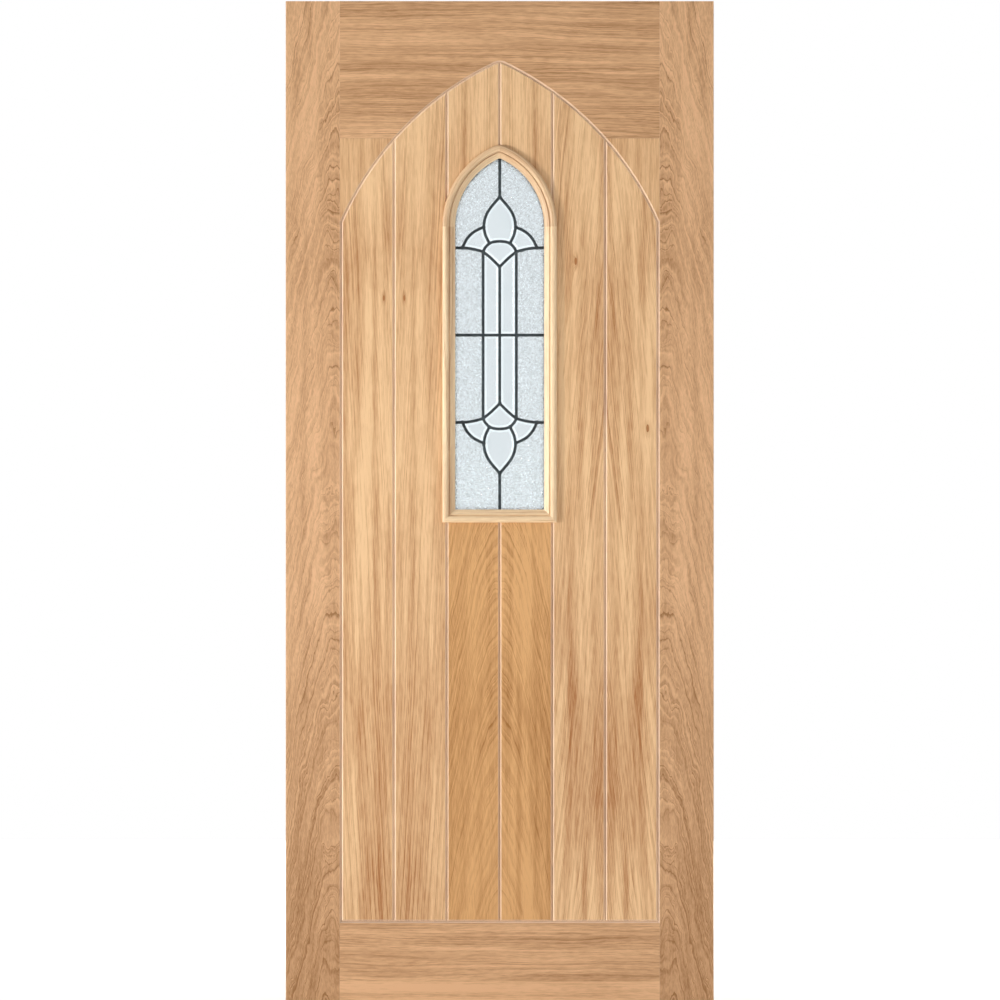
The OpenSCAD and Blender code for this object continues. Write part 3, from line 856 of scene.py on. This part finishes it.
# Boards are cut from three flitches, each opened like a book about a joint.
LEFT_FLITCH = dict(Pith=(-150, 60, 0), Ring=3.9, Taper=-0.05, Lines=0.8, Knot=(20, 1400, 2.0))
MIDDLE_FLITCH = dict(Pith=(0, 18, 0), Ring=4.6, Taper=0.2, Curl=7, Ripple=90, Lines=0.75)
RIGHT_FLITCH = dict(
    Pith=(-120, 50, 0), Ring=4.2, Taper=0.1, Wander=22, Shade=0.35, Bands=0.95, Lines=0.8
)
BOARD_FIGURES = {
    1: dict(LEFT_FLITCH, Shade=0.3, Bands=1.05),
    2: dict(LEFT_FLITCH, Bands=0.7),
    3: dict(MIDDLE_FLITCH, Bands=0.4),
    4: dict(MIDDLE_FLITCH, Bands=0.9),
    5: dict(RIGHT_FLITCH, Knot=(58, 3272, 2.6)),
    6: dict(RIGHT_FLITCH, Knot=(83, 2945, 2.8)),
    "upper": dict(Pith=(-90, 90, 0), Ring=4.4, Taper=0.01, Shade=0.2, Bands=0.9, Lines=0.6),
}
STILE_FIGURE = dict(
    Pith=(100, 40, 0),
    Ring=3.8,
    Taper=0.16,
    Wander=36,
    Curl=11,
    Ripple=48,
    Dash=12,
    Bands=0.4,
    Lines=0.9,
    Pores=0.9,
    # Painted shade towards the foot of each stile.
    Foot_shade=0.26,
)
RAIL_FIGURE = dict(
    Pith=(-260, 90, 0),
    Ring=3.8,
    Taper=0.015,
    Wander=30,
    Curl=4,
    Ripple=110,
    Dash=26,
    Shade=0.38,
    Bands=0.5,
    Lines=0.6,
    Pores=1.0,
)
LOW_RAIL_FIGURE = dict(RAIL_FIGURE, Pith=(-120, 70, 0), Joint=63.0, Shade=0.3, Lines=0.5)
CORNER_FIGURE = dict(
    Pith=(-140, 60, 0), Ring=4.2, Taper=0.02, Wander=14, Shade=0.42, Bands=0.5, Lines=0.6, Pores=0.9
)
BEAD_FIGURE = dict(
    Pith=(-60, 40, 0), Ring=3.4, Taper=0.006, Wander=5, Curl=0.8, Bands=0.5, Lines=0.65, Pores=0.6
)
INNER_FIGURE = dict(
    Pith=(-200, 90, 0), Ring=6.0, Taper=0.01, Wander=10, Curl=1.0, Bands=0.4, Lines=0.4, Pores=0.3
)

# How far along its plank each piece was sawn, in metres, so that no two grains match by chance.
RAIL_SAWN = 0.31
CORNER_SAWN = 0.4
FLITCH_SAWN = 0.9
BACK_SAWN = 1.7

# Height of the top rail beside its arch. Its grain is counted from its lower edge.
TOP_RAIL_H = 0.268


class DOOR_OT_frame(bpy.types.Operator):
    """Oak on the stiles, rails and corner pieces"""

    bl_idname = "door.frame"
    bl_label = "Frame oak"

    def execute(self, context):
        wood = context.scene.door_wood
        looks = {}
        for side, sign in (("left", -1), ("right", 1)):
            looks[f"{side}_stile"] = oak(
                f"oak_crown_cut_{side}_stile",
                wood.pink,
                wood.brown,
                start=(sign * LEAF_HALF, 0, 0),
                flip=(-sign, 1),
                **STILE_FIGURE,
            )
            looks[f"{side}_spandrel"] = oak(
                f"oak_sanded_{side}_corner",
                wood.honey,
                wood.tan,
                start=(sign * OPEN_HALF, 0, CORNER_SAWN),
                flip=(-sign, 1),
                **CORNER_FIGURE,
            )
        rails = {
            "top": ((LEAF_TOP - TOP_RAIL_H, 0, RAIL_SAWN), RAIL_FIGURE),
            "bottom": ((0, 0, -RAIL_SAWN), LOW_RAIL_FIGURE),
        }
        for level, (start, figure) in rails.items():
            name = f"oak_rift_cut_{level}_rail"
            looks[f"{level}_rail"] = oak(name, wood.pink, wood.brown, "Z", start, **figure)
        for node, look in looks.items():
            coat(NODES[node], look)
            ease_edges(NODES[node], wood.edge)
        return {"FINISHED"}


class DOOR_OT_boards(bpy.types.Operator):
    """Oak on the V-jointed boards of both faces"""

    bl_idname = "door.boards"
    bl_label = "Board oak"

    def execute(self, context):
        wood = context.scene.door_wood
        for face, side in FACES.items():
            for number in range(1, 7):
                pair = (number - 1) // 2
                joint = (pair * 2 - 2) * BOARD_W
                flip = -1 if number % 2 else 1
                parts = ("_upper", "_lower") if number in (3, 4) else ("",)
                for part in parts:
                    node = f"{face}_board_{number}{part}"
                    figure = BOARD_FIGURES["upper" if part == "_upper" else number]
                    sawn = FLITCH_SAWN * pair + (BACK_SAWN if side > 0 else 0)
                    middle = part == "_lower"
                    pale, dark = (wood.amber, wood.umber) if middle else (wood.honey, wood.tan)
                    look = oak(
                        f"oak_sanded_{node}",
                        pale,
                        dark,
                        start=(joint, 0, -sawn),
                        flip=(flip, -side),
                        **figure,
                    )
                    coat(NODES[node], look)
                    ease_edges(NODES[node], wood.edge)
        return {"FINISHED"}


class DOOR_OT_beads(bpy.types.Operator):
    """Moulded oak beads round the window, front and back"""

    bl_idname = "door.beads"
    bl_label = "Window beads"

    def execute(self, context):
        wood = context.scene.door_wood
        section = bead_section()
        for face, side in FACES.items():
            for order, (part, span) in enumerate(SPANS.items()):
                name = f"{face}_bead_{part}"
                bm = bmesh.new()
                carried(bm, [(u, side * (FACE_Y + h)) for u, h in section], span)
                made = mesh_object(f"oak_bead_{face}_{part}", bm, math.radians(34))
                look = oak(
                    f"oak_moulded_{name}",
                    wood.pale,
                    wood.tan,
                    start=(0.03 * order, 0, 0.4 * order + side),
                    uv=True,
                    Shade=0.4 if "arch" in part else 0.15,
                    **BEAD_FIGURE,
                )
                coat(made, look)
                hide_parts(name)
        return {"FINISHED"}


class DOOR_OT_cames(bpy.types.Operator):
    """Lead cames with soldered joints"""

    bl_idname = "door.cames"
    bl_label = "Lead cames"

    def execute(self, context):
        glass = context.scene.door_glass
        curves = leaded_curves()
        section = came_section()
        bm = bmesh.new()
        lines = [
            [p for p in curves["shoulder"] if p.x <= EDGE_X],
            curves["fan_side"],
            curves["dome_side"] + curves["dome_top"][1:],
            curves["bud_low"] + curves["bud_high"][1:],
            curves["petal_arc"],
            [Vector((STRIP_X, 0)), Vector(FAN_JOINT)],
        ]
        for left, lower in QUARTERS:
            for line in lines:
                came_strip(bm, [placed(p, left, lower) for p in line], section)
        edge = (EDGE_X, 0)
        came_strip(bm, [placed(edge, True, False), placed(edge, False, False)], section)
        came_strip(bm, [placed(FAN_TIP, False, True), placed(FAN_TIP, False, False)], section)
        for lower, z in ((False, GLASS_TOP + 5 * MM), (True, GLASS_Z - 5 * MM)):
            came_strip(bm, [placed(BUD_TIP, False, lower), Vector((0, z))], section)
        # The edge came is a channel, open inward to hold the outermost glass.
        lip, floor = 5.2 * MM, 7.2 * MM
        channel = [
            (lip, CAME_Y - FLANGE_T),
            (lip, CAME_Y - 0.5 * MM),
            (lip + 0.4 * MM, CAME_Y),
            (CAME_EDGE, CAME_Y),
        ]
        rim = [(u, -y) for u, y in channel[1:]] + [(u, y) for u, y in reversed(channel)]
        rim += [(floor, CAME_Y - FLANGE_T), (floor, FLANGE_T - CAME_Y), (lip, FLANGE_T - CAME_Y)]
        for span in SPANS.values():
            carried(bm, rim, span)
        made = mesh_object("lead_cames", bm, math.radians(40))
        coat(made, patinated_lead("lead_milled_blackened", glass.lead))
        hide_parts("came_lattice")

        solder = bmesh.new()
        level = (STRIP_X, 0)
        joints = [FAN_JOINT, BUD_FOOT, PETAL_TOP, PETAL_FOOT, level]
        places = [
            placed(at, left, lower)
            for left, lower in QUARTERS
            for at in joints
            if not (at == level and lower)
        ]
        places += [placed(at, False, lower) for lower in (False, True) for at in (FAN_TIP, BUD_TIP)]
        places.append(placed((0, 0), False, False))
        for seed, place in enumerate(places):
            solder_joint(solder, place, seed)
        blobs = mesh_object("solder_joints", solder, math.radians(60))
        coat(blobs, patinated_lead("solder_wiped_blackened", shade(glass.lead, 1.15)))
        return {"FINISHED"}


class DOOR_OT_glass(bpy.types.Operator):
    """Bevelled and stippled glass pieces and the clear panes of the sealed unit"""

    bl_idname = "door.glass"
    bl_label = "Glass"

    def execute(self, context):
        glass = context.scene.door_glass
        c = leaded_curves()
        dome = c["dome_side"] + c["dome_top"][1:]
        dome_top = c["dome_top"][::-1]
        bud_side = c["bud_low"] + c["bud_high"][1:]
        petal = [c[side][::-1] for side in ("under_petal", "petal_arc", "bud_low", "dome_side")]
        strip = [
            [Vector((0, 0)), Vector((STRIP_X, 0))],
            [Vector((STRIP_X, 0)), Vector(FAN_JOINT)],
            c["fan_side"],
            [Vector(FAN_TIP), Vector((0, 0))],
        ]
        fan_side = c["fan_side"][::-1]
        shapes = {
            "bud_glass": (HALVES, [mirrored(dome_top) + dome_top[1:], bud_side, mirrored(bud_side)]),
            "petal_glass": (QUARTERS, petal),
            "fan_glass": (HALVES, [fan_side, dome + mirrored(dome[:-1]), mirrored(fan_side)]),
            "strip_glass": (QUARTERS, strip),
        }
        clear = cut_glass(
            "glass_ground_bevel", glass.clear, wave_mm=55, relief_mm=0.2, rough=0.03, strength=0.03
        )
        half_thick = CAME_Y - FLANGE_T - 0.1 * MM
        for node, (quarters, sides) in shapes.items():
            bm = bmesh.new()
            for left, lower in quarters:
                bevelled_piece(bm, in_place(sides, left, lower), glass.bevel, half_thick)
            made = mesh_object(node.replace("_glass", "_bevelled_glass"), bm)
            coat(made, clear)
            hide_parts(node)
        stippled = cut_glass(
            "glass_rolled_stipple",
            glass.textured,
            wave_mm=glass.stipple / MM,
            relief_mm=3.4,
            rough=0.1,
            strength=0.48,
        )
        for node in ("head_glass", "side_glass", "foot_glass"):
            coat(NODES[node], stippled)
        panes = float_glass("glass_float_toughened", glass.clear)
        for node in ("outer_pane", "inner_pane"):
            coat(NODES[node], panes)
        return {"FINISHED"}


class DOOR_OT_hidden(bpy.types.Operator):
    """Finishes of the pieces inside the leaf"""

    bl_idname = "door.hidden"
    bl_label = "Inner pieces"

    def execute(self, context):
        wood = context.scene.door_wood
        core = oak("timber_core_planed", wood.pink, wood.brown, **INNER_FIGURE)
        liner = oak("hardwood_liner_planed", wood.honey, wood.brown, **INNER_FIGURE)
        coat(NODES["panel_core"], core)
        for part in ("left", "right", "sill", "head_left", "head_right"):
            coat(NODES[f"liner_{part}"], liner)
        dowel = oak("beech_dowel_turned", wood.pale, wood.tan, **INNER_FIGURE)
        for node in ("rail_dowels", "spandrel_dowels"):
            coat(NODES[node], dowel)
        pin = plain_trade("steel_pin_drawn", "#9A9A96", grain_mm=0.8, rough=0.35, metallic=1.0)
        tape = plain_trade("foam_tape_closed_cell", "#232323", grain_mm=0.6, rough=0.85)
        for face in FACES:
            coat(NODES[f"{face}_bead_pins"], pin)
            coat(NODES[f"{face}_glazing_tape"], tape)
        bar = plain_trade(
            "aluminium_spacer_mill_finish", "#C2C5C6", grain_mm=1.5, rough=0.42, metallic=1.0
        )
        for node in ("outer_spacer", "inner_spacer"):
            coat(NODES[node], bar)
        seal = plain_trade("polysulphide_seal_gunned", "#1F1F20", grain_mm=2.5, rough=0.6)
        coat(NODES["edge_seal"], seal)
        packer = plain_trade("plastic_packer_moulded", "#26272A", grain_mm=1.0, rough=0.5)
        coat(NODES["setting_blocks"], packer)
        return {"FINISHED"}


def camera_at(scene, stage):
    """A long lens, level and square to the front face."""
    lens = bpy.data.cameras.new("camera")
    lens.lens = 200
    lens.sensor_width = 36
    lens.clip_end = 200
    away = stage.view_height * lens.lens / lens.sensor_width
    camera = bpy.data.objects.new("camera", lens)
    camera.location = (stage.view_side, -FACE_Y - away, stage.view_level)
    camera.rotation_euler = (math.pi / 2, 0, 0)
    scene.collection.objects.link(camera)
    scene.camera = camera


def lamp(name, place, aim, size, watts, spread=180):
    """A soft box: its place and aim in metres, its sides, its power, and its spread in degrees."""
    data = bpy.data.lights.new(name, "AREA")
    data.shape = "RECTANGLE"
    data.size, data.size_y = size
    data.energy = watts
    data.spread = math.radians(spread)
    made = bpy.data.objects.new(name, data)
    made.location = place
    made.rotation_euler = (Vector(aim) - Vector(place)).to_track_quat("-Z", "Y").to_euler()
    bpy.context.scene.collection.objects.link(made)


def studio_world(scene):
    """White where it is looked at, softer as a light, and pale through the glass."""
    world = bpy.data.worlds.new("studio")
    world.use_nodes = True
    scene.world = world
    tree = world.node_tree
    tree.nodes.clear()
    path = tree.nodes.new("ShaderNodeLightPath").outputs
    seen = add(tree, "ShaderNodeBackground", [(1, 1, 1, 1), 1.0])
    ray = add(tree, "ShaderNodeTexCoord", out=0)
    ray = add(tree, "ShaderNodeSeparateXYZ", [ray]).node.outputs
    # A wide soft box overhead lights the top edge.
    overhead = add(tree, "ShaderNodeMapRange", [ray[2], 0.35, 1.0, 0.19, 0.9])
    soft = add(tree, "ShaderNodeBackground", [(0.97, 0.985, 1, 1), overhead])
    # Straight on through the glass it is a shade under white. Rays that a bevel bends see it brighter.
    forward = add(tree, "ShaderNodeMath", [ray[1]], operation="ABSOLUTE")
    glow = add(tree, "ShaderNodeMapRange", [forward, 0.985, 0.9995, 1.22, 0.99])
    through = add(tree, "ShaderNodeBackground", [(0.98, 0.94, 0.975, 1), glow])
    lit = add(tree, "ShaderNodeMixShader", [path["Is Transmission Ray"], soft, through])
    sky = add(tree, "ShaderNodeMixShader", [path["Is Camera Ray"], lit, seen])
    add(tree, "ShaderNodeOutputWorld", [sky])


def matt_paint(name, tone):
    """Flat floor paint, rolled: an even pale tone with a barely seen mottle."""
    made, tree = new_material(name)
    tint = two_tones(tree, mottle(tree, 400), (0.0, shade(tone, 0.985)), (1.0, tone))
    principled(tree, {"Base Color": tint, "Roughness": 0.8})
    return made


def studio_floor(scene, stage):
    """A plain floor just under the leaf's foot."""
    bm = bmesh.new()
    bmesh.ops.create_grid(bm, x_segments=8, y_segments=8, size=stage.floor_half)
    mesh = bpy.data.meshes.new("floor")
    bm.to_mesh(mesh)
    bm.free()
    floor = bpy.data.objects.new("floor", mesh)
    floor.location.z = -0.2 * MM
    scene.collection.objects.link(floor)
    coat(floor, matt_paint("studio_floor_matt_paint", stage.floor))


class DOOR_OT_stage(bpy.types.Operator):
    """Camera, soft studio light and a pale floor"""

    bl_idname = "door.stage"
    bl_label = "Stage"

    def execute(self, context):
        scene = context.scene
        camera_at(scene, scene.door_stage)
        scene.view_settings.view_transform = "Standard"
        # The key rakes the face from the left, so that the joints and mouldings read.
        lamp("key", (-6.0, -2.8, 0.8), aim=(0, 0, 1.0), size=(0.9, 1.2), watts=294)
        lamp("near", (-0.95, -1.3, 0.95), aim=(0.1, 0, 0.95), size=(0.6, 0.6), watts=3)
        lamp("fill", (2.6, -3.0, 1.1), aim=(0, 0, 1.0), size=(0.9, 1.2), watts=20)
        lamp("back", (2.6, 1.7, 1.4), aim=(0, 0, 1.05), size=(0.8, 1.2), watts=34)
        lamp("floor_behind", (0, 4.2, 3.6), aim=(0, 4.2, 0), size=(7.0, 5.2), watts=240, spread=110)
        lamp("floor_before", (0, -4.9, 3.6), aim=(0, -4.9, 0), size=(7.0, 4.4), watts=90, spread=60)
        studio_world(scene)
        studio_floor(scene, scene.door_stage)
        return {"FINISHED"}


class DOOR_PT_sidebar(bpy.types.Panel):
    """Sizes, colours and the steps that make the door"""

    bl_idname = "DOOR_PT_sidebar"
    bl_label = "Arched oak door"
    bl_space_type = "VIEW_3D"
    bl_region_type = "UI"
    bl_category = "Door"

    def draw(self, context):
        for group in SETTINGS:
            settings = getattr(context.scene, group)
            for label in settings.__annotations__:
                self.layout.prop(settings, label)
        for step in STEPS:
            self.layout.operator(step.bl_idname)


SETTINGS = {"door_wood": DoorWood, "door_glass": DoorGlass, "door_stage": DoorStage}
STEPS = (
    DOOR_OT_stage,
    DOOR_OT_frame,
    DOOR_OT_boards,
    DOOR_OT_beads,
    DOOR_OT_cames,
    DOOR_OT_glass,
    DOOR_OT_hidden,
)
CLASSES = (*SETTINGS.values(), *STEPS, DOOR_PT_sidebar)


def register():
    """Adds the door's settings, steps and panel."""
    for made in CLASSES:
        bpy.utils.register_class(made)
    for label, group in SETTINGS.items():
        setattr(bpy.types.Scene, label, PointerProperty(type=group))


def unregister():
    """Takes them away again."""
    for label in SETTINGS:
        delattr(bpy.types.Scene, label)
    for made in reversed(CLASSES):
        bpy.utils.unregister_class(made)


def main():
    """Makes the door step by step."""
    register()
    oak_figure()
    bpy.ops.door.stage()
    bpy.ops.door.frame()
    bpy.ops.door.boards()
    bpy.ops.door.beads()
    bpy.ops.door.cames()
    bpy.ops.door.glass()
    bpy.ops.door.hidden()


if __name__ == "__main__":
    main()
